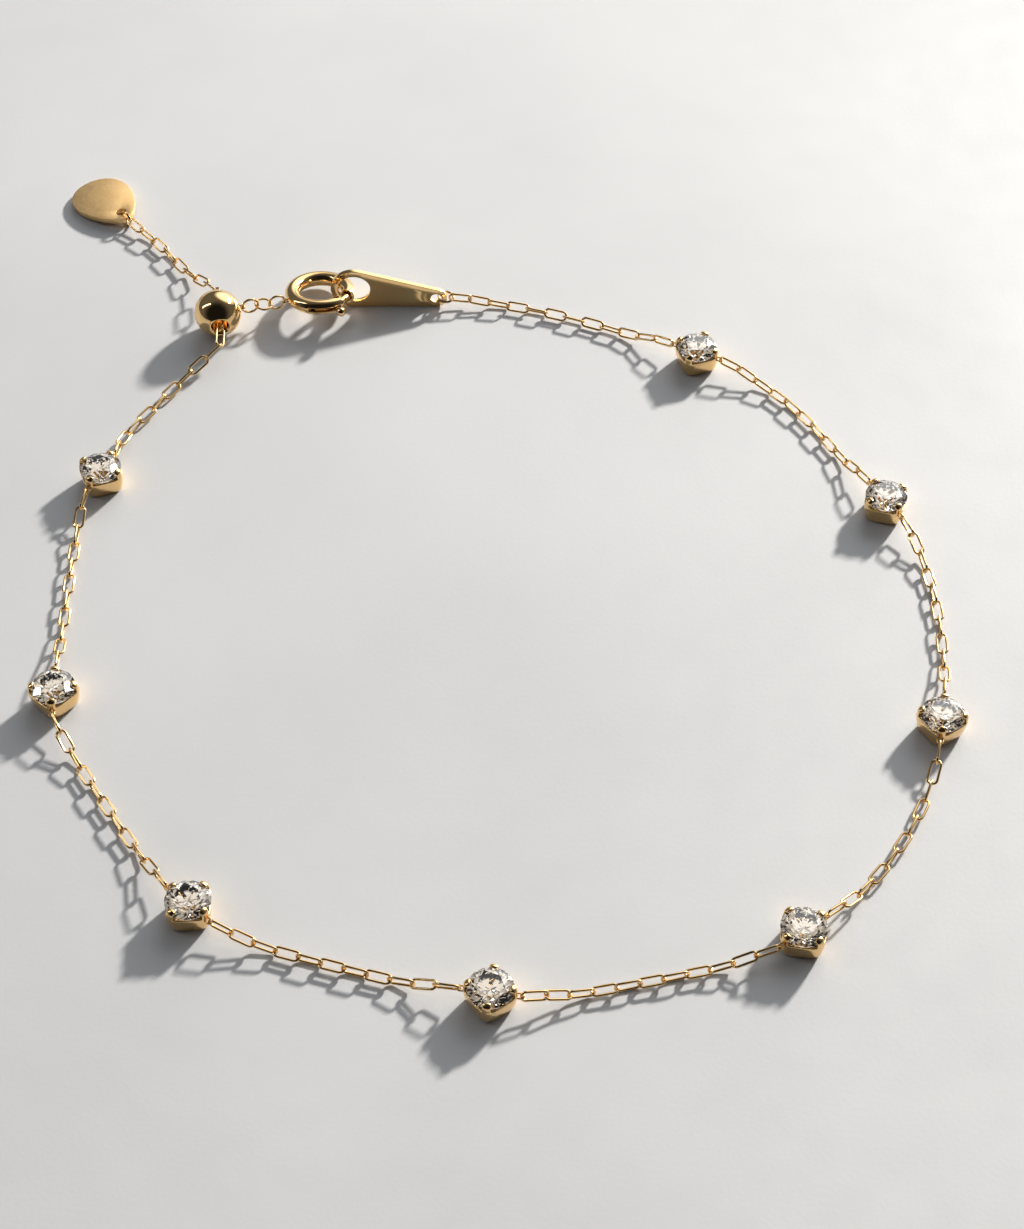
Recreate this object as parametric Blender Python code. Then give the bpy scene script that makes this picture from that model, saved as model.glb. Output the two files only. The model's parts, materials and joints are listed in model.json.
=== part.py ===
# Diamond station bracelet: eight claw-set round brilliants on fine gold cable chain, closed by a
# spring ring, with a slide bead for adjusting it. It lies on a flat surface at z = 0, +Z up.
# Sizes are in millimetres and angles in degrees. A mesh is scaled to metres when it is finished.
import math

import bmesh
import bpy
from mathutils import Matrix, Vector

METRES = 0.001
UP = Vector((0, 0, 1))
SHARP_FROM = 40  # angle from which an edge between two faces is shaded sharp

# Round brilliant, measured from its girdle's lower edge
STONE_RADIUS = 1.25
TABLE_RADIUS = 0.70
CROWN_HEIGHT = 0.38
GIRDLE_HEIGHT = 0.08
PAVILION_DEPTH = 1.075
STAR_RADIUS = 0.97
LOWER_HALF_RADIUS = 0.28
GIRDLE_Z = 1.40

# Seat: a rounded square whose corners point along the chain and across it
SEAT_LEVELS = [
    # height, half side, corner radius
    (0.00, 1.09, 0.36),
    (0.55, 1.16, 0.40),
    (1.17, 1.20, 0.42),
]
SEAT_CORNER_POINTS = 3
POCKET_RADIUS = 1.09
POCKET_BOTTOM = 0.24
CLAW_PATH = [
    # radius, height, thickness
    (1.33, 1.02, 0.12),
    (1.39, 1.44, 0.12),
    (1.30, 1.68, 0.12),
    (1.05, 1.76, 0.08),
]
CLAW_SIDES = 6
CLAW_WIDENING = 2.0
CORNER_REACH = 1.50

# Cable chain
LINK_PITCH = 1.26
LINK_WIDTH = 0.55
LINK_CORNER = 0.16
WIRE_RADIUS = 0.08
WIRE_SIDES = 5
WIRE_BITE = 0.15  # share of the wire's thickness by which touching links are fused
LINK_LENGTH = LINK_PITCH + (1 - WIRE_BITE) * 2 * WIRE_RADIUS
CHAIN_LOW = 0.37
CHAIN_RISE = 3.6  # length over which the chain climbs from the surface to a seat
GAP_LINKS = 11
PLATE_CHAIN_LINKS = 12
PLATE_CHAIN_TURN = -8  # from the last seat's heading to the plate chain's
ADJUSTER_LINKS = 21

# Soldered eyes: a staple of wire standing on a wall, with a link's end wire inside it
EYE_DEPTH = 0.36
EYE_HALF_WIDTH = 0.22
EYE_ROOT = 0.16
EYE_SEAT = 0.125  # from the wall to the middle of the wire that it holds
EYE_Z = 1.05
EYE_TO_JOINT = EYE_SEAT + (LINK_LENGTH - LINK_PITCH) / 2

STATIONS = [
    # x, y, heading of the chain through the seat
    (-22.94, 5.56, -115),
    (-23.90, -11.36, -88),
    (-15.14, -25.75, -42),
    (0.89, -31.16, -9),
    (17.32, -27.43, 37),
    (26.10, -13.33, 80),
    (24.47, 3.28, 120),
    (13.69, 15.99, 154),
]

BEAD_RADIUS = 1.5
BEAD_BORE = 0.50
BEAD_MOUTH = 0.64
BEAD_SEGMENTS = 12
BEAD_BANDS = 6
BEAD_CENTRE = Vector((-16.79, 19.07, BEAD_RADIUS))
BEAD_HEADING = 100
BEAD_LEAD = 1.3  # how far the chain runs straight on either side of the bead's middle
BEAD_APPROACH = 2.5
BEAD_SAG = 0.15  # by how much the chain has dropped at the approach

ROUTE_TO_BEAD = [
    # x, y, height of the adjuster chain's middle line
    (-21.9, 9.1, 0.50),
    (-20.4, 11.6, 0.40),
    (-18.6, 14.3, 0.46),
]
ROUTE_TO_TAG = [
    (-19.2, 23.95, 0.47),
    (-21.4, 26.85, 0.40),
    (-23.4, 28.85, 0.56),
    (-24.7, 30.75, 0.86),
]

RING_CENTRE = Vector((-10.40, 21.40, 1.09))
RING_TILT = -12  # about X, so that the near side lies higher
RING_RADIUS = 1.80
RING_TUBE = 0.475
RING_BORE = 0.33
RING_SIDES = 10
RING_STEP = 19
OPENING_FROM = -42
OPENING_TO = -14
SLOT_FROM = -106
SLOT_TO = -50
SLOT_WIDTH = 0.30
BORE_FROM = -116
BORE_TO = -2
BOLT_RADIUS = 0.26
BOLT_FROM = -68
BOLT_TO = -9
BOLT_SIDES = 8
KNOB_ANGLE = -58
KNOB_STEM = 0.10
KNOB_RADIUS = 0.30
KNOB_REACH = 2.78

PLATE_HOLE_CENTRE = Vector((-8.19, 21.40, 1.50))
PLATE_LENGTH = 5.35
PLATE_WIDE_RADIUS = 1.50
PLATE_NARROW_RADIUS = 0.70
PLATE_THICKNESS = 0.30
PLATE_END_POINTS = 10
PLATE_HOLE = 1.05
PLATE_HOLE_SIDES = 12
SMALL_HOLE = 0.36
SMALL_HOLE_SIDES = 8

JUMP_RADIUS = 0.48
JUMP_WIRE = 0.085
JUMP_OFFSET = 0.63  # from a small hole's middle to the jump ring's middle
JUMP_TO_LINK = 0.87  # from a small hole's middle to the middle of the link wire in the jump ring
JUMP_TO_JOINT = JUMP_TO_LINK + (LINK_LENGTH - LINK_PITCH) / 2
ROUND_SIDES = 10

CONNECTOR_LINKS = 3
CONNECTOR_WIRE = 0.08

TAG_HALF_LENGTH = 2.50
TAG_HALF_WIDTH = 1.90
TAG_EGG = 0.28  # share by which the end with the hole is narrower than an oval's
TAG_THICKNESS = 0.35
TAG_HOLE_OFFSET = 1.72
TAG_HEADING = 130
TAG_TILT = 4.2
TAG_SEGMENTS = 18

GOLD = (0.83, 0.58, 0.25, 1)
DIAMOND = (0.95, 0.95, 0.96, 1)


def clear_scene():
    for obj in list(bpy.data.objects):
        bpy.data.objects.remove(obj)


def gold_material(name):
    material = bpy.data.materials.new(name)
    material.use_nodes = True
    shader = material.node_tree.nodes["Principled BSDF"]
    shader.inputs["Base Color"].default_value = GOLD
    shader.inputs["Metallic"].default_value = 1.0
    shader.inputs["Roughness"].default_value = 0.15
    return material


def diamond_material(name):
    material = bpy.data.materials.new(name)
    material.use_nodes = True
    shader = material.node_tree.nodes["Principled BSDF"]
    shader.inputs["Base Color"].default_value = DIAMOND
    shader.inputs["Roughness"].default_value = 0.0
    shader.inputs["IOR"].default_value = 2.417
    shader.inputs["Transmission Weight"].default_value = 1.0
    return material


def shade(mesh):
    mesh.shade_smooth()
    mesh.set_sharp_from_angle(angle=math.radians(SHARP_FROM))


def finished_mesh(name, bm):
    bmesh.ops.recalc_face_normals(bm, faces=bm.faces)
    bmesh.ops.scale(bm, vec=(METRES, METRES, METRES), verts=bm.verts)
    mesh = bpy.data.meshes.new(name)
    bm.to_mesh(mesh)
    bm.free()
    return mesh


# Joins or cuts closed meshes with exact Booleans and returns the result as one mesh
def combined(name, base, steps):
    obj = bpy.data.objects.new(name, finished_mesh(name, base))
    bpy.context.scene.collection.objects.link(obj)
    tools = []
    for operation, bm in steps:
        tool = bpy.data.objects.new(name + "_tool", finished_mesh(name + "_tool", bm))
        bpy.context.scene.collection.objects.link(tool)
        modifier = obj.modifiers.new(operation.lower(), "BOOLEAN")
        modifier.operation = operation
        modifier.solver = "EXACT"
        modifier.object = tool
        tools.append(tool)
    graph = bpy.context.evaluated_depsgraph_get()
    mesh = bpy.data.meshes.new_from_object(obj.evaluated_get(graph))
    mesh.name = name
    for used in [obj, *tools]:
        bpy.data.objects.remove(used)
    shade(mesh)
    return mesh


def place(name, mesh, material, parent, location=(0, 0, 0), rotation=(0, 0, 0)):
    obj = bpy.data.objects.new(name, mesh)
    bpy.context.scene.collection.objects.link(obj)
    if not mesh.materials:
        mesh.materials.append(None)
    obj.material_slots[0].link = "OBJECT"
    obj.material_slots[0].material = material
    obj.parent = parent
    obj.location = Vector(location) * METRES
    obj.rotation_euler = [math.radians(angle) for angle in rotation]
    return obj


def heading_vector(heading):
    return Vector((math.cos(math.radians(heading)), math.sin(math.radians(heading)), 0))


# Sweeps a polygon of wire along a path that lies in the plane of normal, mitred at its bends
def add_wire(bm, points, radii, sides, normal, closed=False, widening=1.0):
    rings = []
    last = len(points) - 1
    for i, point in enumerate(points):
        before = points[i - 1] if closed or i > 0 else point
        after = points[(i + 1) % len(points)] if closed or i < last else point
        arriving = (point - before).normalized() if before != point else (after - point).normalized()
        leaving = (after - point).normalized() if after != point else arriving
        tangent = (arriving + leaving).normalized()
        mitre = 1 / tangent.dot(arriving)
        across = tangent.cross(normal).normalized()
        ring = []
        for k in range(sides):
            angle = math.pi + math.tau * k / sides
            offset = across * math.cos(angle) * mitre + normal * math.sin(angle) * widening
            ring.append(bm.verts.new(point + offset * radii[i]))
        rings.append(ring)
    pairs = list(zip(rings, rings[1:]))
    if closed:
        pairs.append((rings[-1], rings[0]))
    for ring, following in pairs:
        for k in range(sides):
            n = (k + 1) % sides
            bm.faces.new((ring[k], ring[n], following[n], following[k]))
    if not closed:
        bm.faces.new(rings[0])
        bm.faces.new(rings[-1])


def bridge(bm, lower, upper):
    for k in range(len(lower)):
        n = (k + 1) % len(lower)
        bm.faces.new((lower[k], lower[n], upper[n], upper[k]))


def circle(radius, count, start=0.0):
    turns = [start + math.tau * k / count for k in range(count)]
    return [(radius * math.cos(turn), radius * math.sin(turn)) for turn in turns]


# Corners lie on the x and y axes
def rounded_square(half_side, corner_radius):
    points = []
    middle = (half_side - corner_radius) * math.sqrt(2)
    for corner in range(4):
        turn = math.tau * corner / 4
        for k in range(SEAT_CORNER_POINTS):
            share = k / (SEAT_CORNER_POINTS - 1) - 0.5
            angle = turn + share * math.tau / 4
            x = middle * math.cos(turn) + corner_radius * math.cos(angle)
            y = middle * math.sin(turn) + corner_radius * math.sin(angle)
            points.append((x, y))
    return points


def brilliant():
    bm = bmesh.new()
    slope = CROWN_HEIGHT / (STONE_RADIUS - TABLE_RADIUS)
    girdle_top = GIRDLE_Z + GIRDLE_HEIGHT
    table_z = girdle_top + CROWN_HEIGHT
    culet_z = GIRDLE_Z - PAVILION_DEPTH
    half_step = math.tau / 16
    star_z = table_z - (STAR_RADIUS * math.cos(half_step) - TABLE_RADIUS) * slope
    steepness = PAVILION_DEPTH / STONE_RADIUS
    lower_z = culet_z + LOWER_HALF_RADIUS * math.cos(half_step) * steepness

    def level(points, z):
        return [bm.verts.new((x, y, z)) for x, y in points]

    table = level(circle(TABLE_RADIUS, 8), table_z)
    stars = level(circle(STAR_RADIUS, 8, half_step), star_z)
    top = level(circle(STONE_RADIUS, 16), girdle_top)
    bottom = level(circle(STONE_RADIUS, 16), GIRDLE_Z)
    lower = level(circle(LOWER_HALF_RADIUS, 8, half_step), lower_z)
    culet = bm.verts.new((0, 0, culet_z))
    bm.faces.new(table)
    bridge(bm, bottom, top)
    for k in range(8):
        n = (k + 1) % 8
        near, middle, far = 2 * k, 2 * k + 1, (2 * k + 2) % 16
        bm.faces.new((table[k], stars[k], table[n]))
        bm.faces.new((table[k], stars[k - 1], top[near], stars[k]))
        bm.faces.new((stars[k], top[near], top[middle]))
        bm.faces.new((stars[k], top[middle], top[far]))
        bm.faces.new((lower[k], bottom[middle], bottom[near]))
        bm.faces.new((lower[k], bottom[far], bottom[middle]))
        bm.faces.new((culet, lower[k], bottom[near], lower[k - 1]))
    return finished_mesh("brilliant", bm)


# Adds a soldered eye. out points away from the wall, and the eye lies in the plane of out and side
def add_eye(bm, wall, out, side):
    outline = [
        (-EYE_ROOT, EYE_HALF_WIDTH),
        (EYE_DEPTH - EYE_HALF_WIDTH, EYE_HALF_WIDTH),
        (EYE_DEPTH, 0),
        (EYE_DEPTH - EYE_HALF_WIDTH, -EYE_HALF_WIDTH),
        (-EYE_ROOT, -EYE_HALF_WIDTH),
    ]
    points = [wall + out * reach + side * width for reach, width in outline]
    add_wire(bm, points, [WIRE_RADIUS] * len(points), WIRE_SIDES, out.cross(side))


def seat():
    cup = bmesh.new()
    loops = []
    for z, half_side, corner_radius in SEAT_LEVELS:
        points = rounded_square(half_side, corner_radius)
        loops.append([cup.verts.new((x, y, z)) for x, y in points])
    for lower, upper in zip(loops, loops[1:]):
        bridge(cup, lower, upper)
    cup.faces.new(loops[0])
    rim_z = SEAT_LEVELS[-1][0]
    first = math.atan2(loops[0][0].co.y, loops[0][0].co.x)
    inner = circle(POCKET_RADIUS, len(loops[0]), first)
    rim = [cup.verts.new((x, y, rim_z)) for x, y in inner]
    bridge(cup, loops[-1], rim)
    bottom = cup.verts.new((0, 0, POCKET_BOTTOM))
    for k, vert in enumerate(rim):
        cup.faces.new((vert, rim[(k + 1) % len(rim)], bottom))

    claws = bmesh.new()
    for corner in range(4):
        out = heading_vector(90 * corner)
        points = [out * radius + UP * z for radius, z, _ in CLAW_PATH]
        thickness = [row[2] for row in CLAW_PATH]
        add_wire(claws, points, thickness, CLAW_SIDES, out.cross(UP), widening=CLAW_WIDENING)

    eyes = bmesh.new()
    for heading in (0, 180):
        out = heading_vector(heading)
        add_eye(eyes, out * CORNER_REACH + UP * EYE_Z, out, UP.cross(out))
    return combined("seat", cup, [("UNION", claws), ("UNION", eyes)])


def link_outline():
    half = LINK_LENGTH / 2
    side = LINK_WIDTH / 2
    corner = LINK_CORNER
    quarter = [(half, side - corner), (half - corner, side), (0, side)]
    front = quarter + [(-x, y) for x, y in reversed(quarter[:2])]
    return front + [(-x, -y) for x, y in front]


def round_outline(radius):
    return circle(radius, ROUND_SIDES)


# Adds one closed link between two joints, flat when standing is 0 and on edge when it is 90
def add_link(bm, start, end, outline, radius, standing):
    along = (end - start).normalized()
    level = UP.cross(along).normalized()
    turn = Matrix.Rotation(math.radians(standing), 3, along)
    across = turn @ level
    middle = (start + end) / 2
    points = [middle + along * x + across * y for x, y in outline]
    add_wire(bm, points, [radius] * len(points), WIRE_SIDES, along.cross(across), closed=True)


# Touching links alternate between two meshes, and one union fuses the whole stretch. The first link
# stands on edge, and twist turns the last one further than its place in the row would
def chain_mesh(name, joints, outline, radius, twist=0):
    halves = [bmesh.new(), bmesh.new()]
    last = len(joints) - 2
    for i, (start, end) in enumerate(zip(joints, joints[1:])):
        standing = 90 + 90 * (i % 2) + twist * i / last
        add_link(halves[i % 2], start, end, outline, radius, standing)
    return combined(name, halves[0], [("UNION", halves[1])])


# Steps along a fine route with a constant straight distance between joints
def joints_along(route, pitch, most):
    joints = [route[0]]
    for start, end in zip(route, route[1:]):
        while len(joints) <= most and (end - joints[-1]).length >= pitch:
            low, high = 0.0, 1.0
            for _ in range(40):
                share = (low + high) / 2
                if (start.lerp(end, share) - joints[-1]).length < pitch:
                    low = share
                else:
                    high = share
            joints.append(start.lerp(end, high))
    return joints


def bezier(points, share):
    while len(points) > 1:
        points = [a.lerp(b, share) for a, b in zip(points, points[1:])]
    return points[0]


# A chain's route from one eye to the next: it leaves both along their headings and sags between
def sagging_route(start, start_heading, end, end_heading, handle):
    controls = [
        start,
        start + heading_vector(start_heading) * handle,
        end - heading_vector(end_heading) * handle,
        end,
    ]
    plan = [bezier(controls, k / 120) for k in range(121)]
    route = []
    for point in plan:
        height = CHAIN_LOW
        for anchor in (start, end):
            away = min((point.xy - anchor.xy).length / CHAIN_RISE, 1)
            height += (anchor.z - CHAIN_LOW) * (1 - away) ** 2 * (1 + 2 * away)
        route.append(Vector((point.x, point.y, height)))
    return route


# Lengthens the route's handles until the whole number of links just fits between the eyes
def fitted_joints(start, start_heading, end, end_heading, count):
    low, high = 0.5, 14.0
    for _ in range(30):
        handle = (low + high) / 2
        route = sagging_route(start, start_heading, end, end_heading, handle)
        joints = joints_along(route, LINK_PITCH, count - 1)
        short = len(joints) < count or (end - joints[count - 1]).length < LINK_PITCH
        if short:
            low = handle
        else:
            high = handle
    return joints[:count] + [end]


# A smooth curve through hand-set points
def smooth_route(points):
    padded = [points[0] * 2 - points[1], *points, points[-1] * 2 - points[-2]]
    route = []
    for a, b, c, d in zip(padded, padded[1:], padded[2:], padded[3:]):
        controls = [b, b + (c - a) / 6, c - (d - b) / 6, c]
        route.extend(bezier(controls, k / 16) for k in range(16))
    route.append(points[-1])
    return route


def station_joint(station, ahead):
    x, y, heading = station
    reach = CORNER_REACH + EYE_TO_JOINT
    return Vector((x, y, EYE_Z)) + heading_vector(heading) * (reach if ahead else -reach)


def gap_chain(name, first, second):
    start = station_joint(first, True)
    end = station_joint(second, False)
    joints = fitted_joints(start, first[2], end, second[2], GAP_LINKS)
    return chain_mesh(name, joints, link_outline(), WIRE_RADIUS)


def plate_joint():
    narrow = plate_small_hole()
    return narrow + Vector((JUMP_TO_JOINT, 0, 0))


def plate_chain():
    start = station_joint(STATIONS[-1], True)
    heading = STATIONS[-1][2] + PLATE_CHAIN_TURN
    joints = fitted_joints(start, heading, plate_joint(), 180, PLATE_CHAIN_LINKS)
    return chain_mesh("plate_chain", joints, link_outline(), WIRE_RADIUS, twist=90)


def adjuster_joints():
    bore = heading_vector(BEAD_HEADING)
    points = [station_joint(STATIONS[0], False)]
    points.extend(Vector(row) for row in ROUTE_TO_BEAD)
    points.append(BEAD_CENTRE - bore * BEAD_APPROACH - UP * BEAD_SAG)
    points.append(BEAD_CENTRE - bore * BEAD_LEAD)
    points.append(BEAD_CENTRE + bore * BEAD_LEAD)
    points.append(BEAD_CENTRE + bore * BEAD_APPROACH - UP * BEAD_SAG)
    points.extend(Vector(row) for row in ROUTE_TO_TAG)
    joints = joints_along(smooth_route(points), LINK_PITCH, ADJUSTER_LINKS)
    return joints[: ADJUSTER_LINKS + 1]


def slide_bead():
    bm = bmesh.new()
    end = math.sqrt(BEAD_RADIUS**2 - BEAD_MOUTH**2)
    limit = math.asin(end / BEAD_RADIUS)
    profile = []
    for k in range(BEAD_BANDS + 1):
        turn = limit * (2 * k / BEAD_BANDS - 1)
        profile.append((BEAD_RADIUS * math.cos(turn), BEAD_RADIUS * math.sin(turn)))
    flare = BEAD_MOUTH - BEAD_BORE
    profile.append((BEAD_BORE, end - flare))
    profile.append((BEAD_BORE, flare - end))
    axis = heading_vector(BEAD_HEADING)
    level = UP.cross(axis)
    loops = []
    for radius, along in profile:
        ring = circle(radius, BEAD_SEGMENTS)
        loops.append([bm.verts.new(axis * along + level * x + UP * y) for x, y in ring])
    for loop, following in zip(loops, loops[1:] + loops[:1]):
        bridge(bm, loop, following)
    eye = bmesh.new()
    out = connector_direction()
    add_eye(eye, out * BEAD_RADIUS, out, UP.cross(out).normalized())
    return combined("slide_bead", bm, [("UNION", eye)])


def connector_direction():
    flat = RING_CENTRE - BEAD_CENTRE
    flat.z = 0
    return flat.normalized()


def connector_joints():
    out = connector_direction()
    start = BEAD_CENTRE + out * (BEAD_RADIUS + EYE_TO_JOINT)
    end = RING_CENTRE - out * (RING_RADIUS + RING_TUBE + EYE_TO_JOINT)
    return [start.lerp(end, k / CONNECTOR_LINKS) for k in range(CONNECTOR_LINKS + 1)]


def connector_chain():
    joints = connector_joints()
    pitch = (joints[1] - joints[0]).length
    radius = (pitch + (1 - WIRE_BITE) * 2 * CONNECTOR_WIRE) / 2
    return chain_mesh("connector_chain", joints, round_outline(radius), CONNECTOR_WIRE)


# Points on the clasp ring's middle line, in its own plane
def arc(radius, start, stop, steps):
    turns = [math.radians(start + (stop - start) * k / steps) for k in range(steps + 1)]
    return [Vector((radius * math.cos(turn), radius * math.sin(turn), 0)) for turn in turns]


def ring_rotation():
    return Matrix.Rotation(math.radians(RING_TILT), 3, "X")


def clasp_ring():
    body = bmesh.new()
    steps = round((360 + OPENING_FROM - OPENING_TO) / RING_STEP)
    points = arc(RING_RADIUS, OPENING_TO, 360 + OPENING_FROM, steps)
    add_wire(body, points, [RING_TUBE] * len(points), RING_SIDES, UP)
    bore = bmesh.new()
    steps = round((BORE_TO - BORE_FROM) / RING_STEP)
    points = arc(RING_RADIUS, BORE_FROM, BORE_TO, steps)
    add_wire(bore, points, [RING_BORE] * len(points), BOLT_SIDES, UP)
    slot = bmesh.new()
    loops = []
    steps = round((SLOT_TO - SLOT_FROM) / RING_STEP)
    inner = arc(RING_RADIUS, SLOT_FROM, SLOT_TO, steps)
    outer = arc(RING_RADIUS + 2 * RING_TUBE, SLOT_FROM, SLOT_TO, steps)
    lift = UP * SLOT_WIDTH / 2
    for near, far in zip(inner, outer):
        corners = (near - lift, far - lift, far + lift, near + lift)
        loops.append([slot.verts.new(corner) for corner in corners])
    for loop, following in zip(loops, loops[1:]):
        bridge(slot, loop, following)
    slot.faces.new(loops[0])
    slot.faces.new(loops[-1])
    eye = bmesh.new()
    out = ring_rotation().inverted() @ -connector_direction()
    add_eye(eye, out * (RING_RADIUS + RING_TUBE), out, UP.cross(out).normalized())
    steps = [("DIFFERENCE", bore), ("DIFFERENCE", slot), ("UNION", eye)]
    return combined("clasp_ring", body, steps)


def clasp_trigger():
    bolt = bmesh.new()
    steps = round((BOLT_TO - BOLT_FROM) / RING_STEP)
    points = arc(RING_RADIUS, BOLT_FROM, BOLT_TO, steps)
    add_wire(bolt, points, [BOLT_RADIUS] * len(points), BOLT_SIDES, UP)
    stem = bmesh.new()
    out = heading_vector(KNOB_ANGLE)
    points = [out * reach for reach in (RING_RADIUS, KNOB_REACH)]
    add_wire(stem, points, [KNOB_STEM, KNOB_STEM], 6, UP)
    knob = bmesh.new()
    bmesh.ops.create_uvsphere(knob, u_segments=8, v_segments=6, radius=KNOB_RADIUS)
    bmesh.ops.translate(knob, verts=knob.verts, vec=out * KNOB_REACH)
    return combined("clasp_trigger", bolt, [("UNION", stem), ("UNION", knob)])


# Extrudes a closed outline both ways from z = 0
def slab(outline, thickness):
    bm = bmesh.new()
    lower = [bm.verts.new((x, y, -thickness / 2)) for x, y in outline]
    upper = [bm.verts.new((x, y, thickness / 2)) for x, y in outline]
    bridge(bm, lower, upper)
    bm.faces.new(lower)
    bm.faces.new(upper)
    return bm


def moved(outline, dx):
    return [(x + dx, y) for x, y in outline]


# Outline of a strip between two round ends of different radius
def tapered_outline(wide, narrow, length):
    lean = math.acos((wide - narrow) / length)
    outline = []
    for k in range(PLATE_END_POINTS + 1):
        turn = lean + (math.tau - 2 * lean) * k / PLATE_END_POINTS
        outline.append((wide * math.cos(turn), wide * math.sin(turn)))
    half = PLATE_END_POINTS // 2
    for k in range(half + 1):
        turn = -lean + 2 * lean * k / half
        outline.append((length + narrow * math.cos(turn), narrow * math.sin(turn)))
    return outline


def plate_pitch():
    return math.degrees(math.asin((PLATE_WIDE_RADIUS - PLATE_NARROW_RADIUS) / PLATE_LENGTH))


def plate_small_hole():
    drop = PLATE_WIDE_RADIUS - PLATE_NARROW_RADIUS
    run = math.sqrt(PLATE_LENGTH**2 - drop**2)
    return PLATE_HOLE_CENTRE + Vector((run, 0, -drop))


def clasp_plate():
    outline = tapered_outline(PLATE_WIDE_RADIUS, PLATE_NARROW_RADIUS, PLATE_LENGTH)
    plate = slab(outline, PLATE_THICKNESS)
    big = slab(circle(PLATE_HOLE, PLATE_HOLE_SIDES), 3 * PLATE_THICKNESS)
    small = slab(moved(circle(SMALL_HOLE, SMALL_HOLE_SIDES), PLATE_LENGTH), 3 * PLATE_THICKNESS)
    return combined("clasp_plate", plate, [("DIFFERENCE", big), ("DIFFERENCE", small)])


def tag_disc():
    outline = []
    for x, y in circle(1, TAG_SEGMENTS):
        outline.append((TAG_HALF_LENGTH * x, TAG_HALF_WIDTH * y * (1 + TAG_EGG * x)))
    disc = slab(outline, TAG_THICKNESS)
    hole = slab(moved(circle(SMALL_HOLE, SMALL_HOLE_SIDES), -TAG_HOLE_OFFSET), 3 * TAG_THICKNESS)
    return combined("tag_disc", disc, [("DIFFERENCE", hole)])


def jump_ring():
    bm = bmesh.new()
    points = [Vector((x, y, 0)) for x, y in round_outline(JUMP_RADIUS)]
    add_wire(bm, points, [JUMP_WIRE] * len(points), WIRE_SIDES, UP, closed=True)
    mesh = finished_mesh("jump_ring", bm)
    shade(mesh)
    return mesh


def build_stations(parent):
    stone_mesh = brilliant()
    seat_mesh = seat()
    for number, (x, y, heading) in enumerate(STATIONS, 1):
        for kind, mesh in (("stone", stone_mesh), ("setting", seat_mesh)):
            name = f"{kind}_{number}"
            material = diamond_material(name) if kind == "stone" else gold_material(name)
            place(name, mesh, material, parent, (x, y, 0), (0, 0, heading))


def build_chains(parent):
    for number, (first, second) in enumerate(zip(STATIONS, STATIONS[1:]), 1):
        name = f"chain_{number}_{number + 1}"
        place(name, gap_chain(name, first, second), gold_material(name), parent)
    place("plate_chain", plate_chain(), gold_material("plate_chain"), parent)
    mesh = chain_mesh("adjuster_chain", adjuster_joints(), link_outline(), WIRE_RADIUS, twist=90)
    place("adjuster_chain", mesh, gold_material("adjuster_chain"), parent)
    place("connector_chain", connector_chain(), gold_material("connector_chain"), parent)


def build_clasp(parent):
    tilt = (RING_TILT, 0, 0)
    place("clasp_ring", clasp_ring(), gold_material("clasp_ring"), parent, RING_CENTRE, tilt)
    place("clasp_trigger", clasp_trigger(), gold_material("clasp_trigger"), parent, RING_CENTRE, tilt)
    standing = place("clasp_plate", clasp_plate(), gold_material("clasp_plate"), parent)
    standing.location = PLATE_HOLE_CENTRE * METRES
    standing.rotation_euler = plate_rotation().to_euler()
    location = plate_small_hole() + Vector((JUMP_OFFSET, 0, 0))
    place("plate_jump_ring", jump_ring(), gold_material("plate_jump_ring"), parent, location)


# The plate stands on its long edge, pitched down towards its narrow end
def plate_rotation():
    stand = Matrix.Rotation(math.radians(90), 3, "X")
    pitch = Matrix.Rotation(math.radians(plate_pitch()), 3, "Y")
    return pitch @ stand


def build_adjuster(parent):
    place("slide_bead", slide_bead(), gold_material("slide_bead"), parent, BEAD_CENTRE)
    joint = adjuster_joints()[-1]
    away = heading_vector(TAG_HEADING) * math.cos(math.radians(TAG_TILT))
    away -= UP * math.sin(math.radians(TAG_TILT))
    hole = joint + away * JUMP_TO_JOINT
    ring_centre = hole - away * JUMP_OFFSET
    tag_centre = hole + away * TAG_HOLE_OFFSET
    rotation = (0, TAG_TILT, TAG_HEADING)
    place("tag_disc", tag_disc(), gold_material("tag_disc"), parent, tag_centre, rotation)
    upright = (90, 0, TAG_HEADING)
    place("tag_jump_ring", jump_ring(), gold_material("tag_jump_ring"), parent, ring_centre, upright)


# Moves the whole bracelet so that its box stands centred on the origin
def centre_on_floor(parent):
    bpy.context.view_layer.update()
    corners = []
    for obj in bpy.data.objects:
        if obj.type == "MESH":
            corners.extend(obj.matrix_world @ vert.co for vert in obj.data.vertices)
    low = Vector(min(corner[axis] for corner in corners) for axis in range(3))
    high = Vector(max(corner[axis] for corner in corners) for axis in range(3))
    parent.location = (-(low.x + high.x) / 2, -(low.y + high.y) / 2, -low.z)


def build_bracelet():
    clear_scene()
    parent = bpy.data.objects.new("bracelet", None)
    bpy.context.scene.collection.objects.link(parent)
    build_stations(parent)
    build_chains(parent)
    build_clasp(parent)
    build_adjuster(parent)
    centre_on_floor(parent)


build_bracelet()
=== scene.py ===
# Looks of the diamond station bracelet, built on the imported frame. Sizes in the dictionaries are in
# millimetres and angles in degrees, and a finished piece is scaled to metres.
import json
import math
import random

import bmesh
import bpy
from mathutils import Matrix, Vector


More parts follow.
